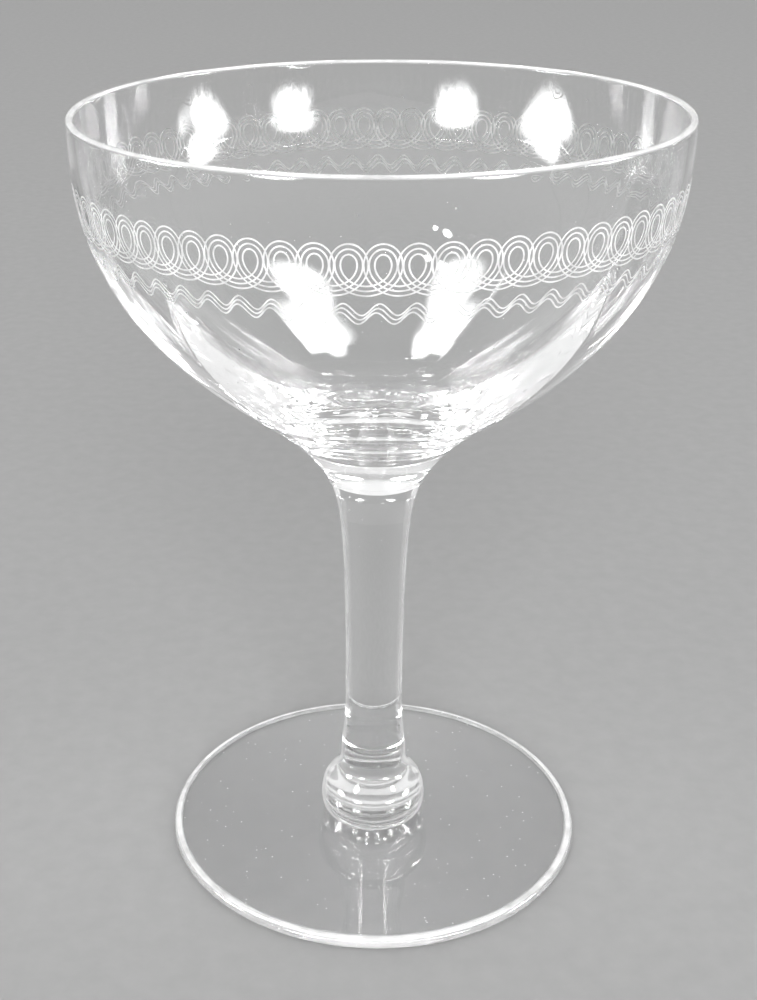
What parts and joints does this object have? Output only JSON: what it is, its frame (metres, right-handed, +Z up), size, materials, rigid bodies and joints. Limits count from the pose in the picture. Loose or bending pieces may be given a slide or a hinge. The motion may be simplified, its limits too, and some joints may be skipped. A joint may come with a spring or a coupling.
{
  "type": "sherbet glass",
  "caption": "Stemmed clear sherbet glass: a wide saucer-shaped bowl with soft optic panels on a slim solid stem, a flattened ball knop and a flat round foot.",
  "frame": {"origin": "on the glass's axis, on the flat underside of the foot", "axes": "+Z up along the axis from the foot to the rim, -Y to the front, +X to the right seen from the front"},
  "size_m": [0.0922, 0.0922, 0.1276],
  "materials": {
    "bowl_glass": "thin clear blown glass, fire-polished, with light wash marks",
    "stem_glass": "solid clear glass, fire-polished",
    "foot_glass": "clear glass with fine wear from standing and washing",
    "etched_line": "white acid-etched needle lines in the surface of the bowl"
  },
  "bodies": {
    "root": {"bowl": "bowl_glass", "stem": "stem_glass", "knop": "stem_glass", "foot": "foot_glass"}
  },
  "joints": []
}
